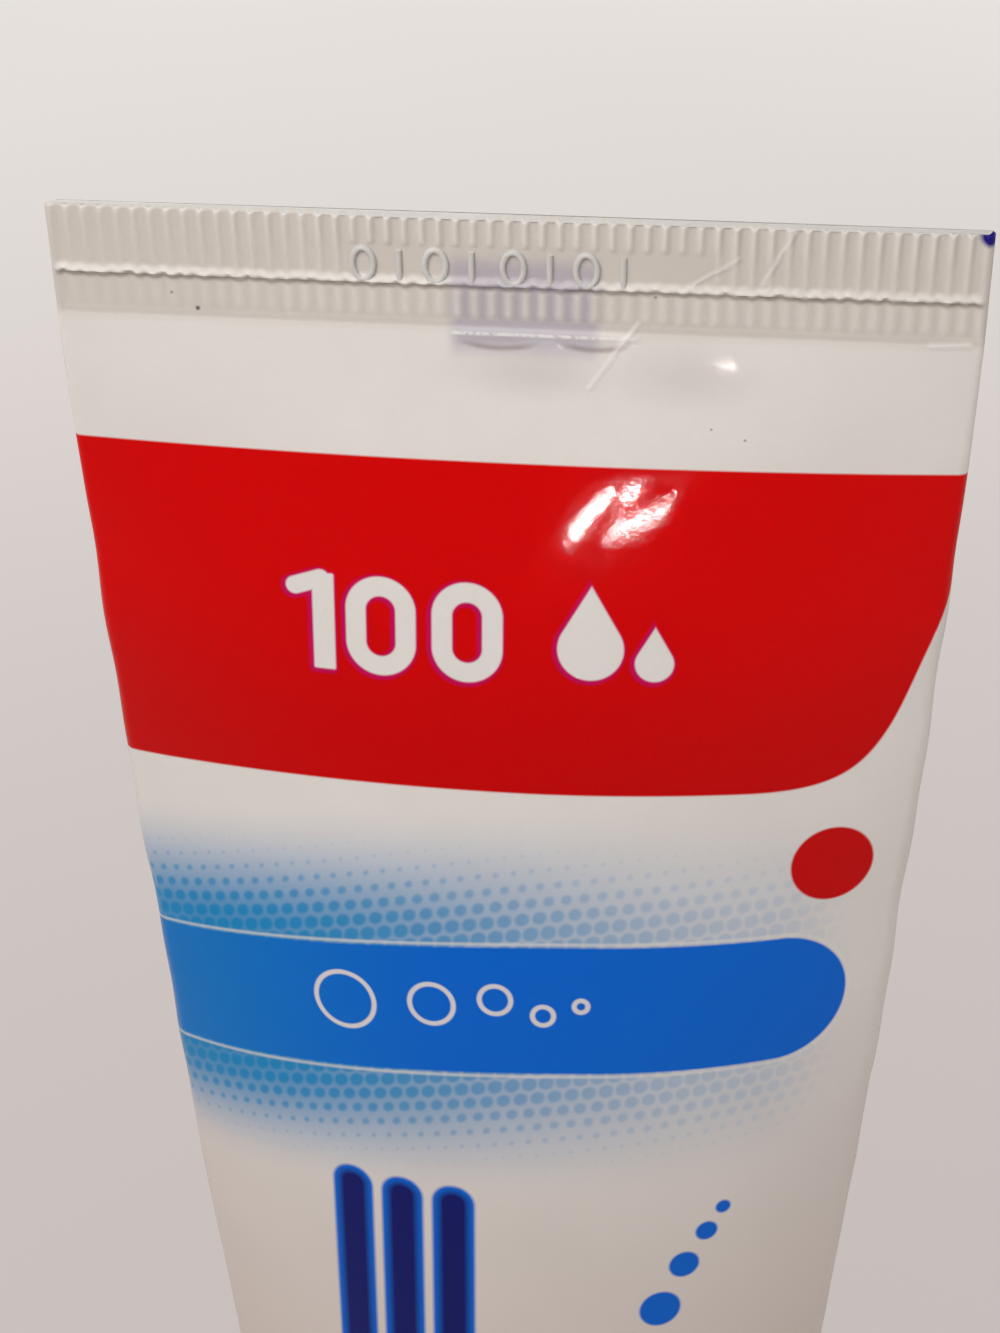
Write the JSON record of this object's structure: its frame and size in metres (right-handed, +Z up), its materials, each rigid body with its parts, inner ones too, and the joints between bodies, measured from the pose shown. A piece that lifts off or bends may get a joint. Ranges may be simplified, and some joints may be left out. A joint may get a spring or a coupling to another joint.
{
  "type": "toothpaste tube",
  "caption": "Flat-crimped laminate toothpaste tube that stands on a wide screw-on cap with a hinged flip-top lid, printed with plain colour fields.",
  "frame": {"origin": "middle of the lid's flat outer face, on the surface that the tube stands on", "axes": "+Z up the tube to the crimped end, the printed front faces -Y, the crimp lies along X"},
  "size_m": [0.0546, 0.0356, 0.1814],
  "materials": {
    "printed_laminate": "white laminate with a semi-gloss varnish over printed red and blue fields",
    "head_plastic": "natural white moulded polyethylene",
    "paste": "wet white paste, stood for by a gloss surface",
    "cap_plastic": "white moulded polypropylene, satin"
  },
  "bodies": {
    "tube": {"tube_sleeve": "printed_laminate", "tube_head": "head_plastic", "toothpaste": "paste"},
    "cap_base": {"cap_base": "cap_plastic"},
    "cap_lid": {"cap_lid": "cap_plastic"}
  },
  "joints": [
    {"name": "cap_off", "type": "slide", "parent": "tube", "child": "cap_base", "axis": [0, 0, -1], "range_m": [0, 0.016]},
    {"name": "lid_hinge", "type": "hinge", "parent": "cap_base", "child": "cap_lid", "pos_m": [0, 0.0175, 0.0076], "axis": [1, 0, 0], "range_deg": [0, 140]}
  ]
}
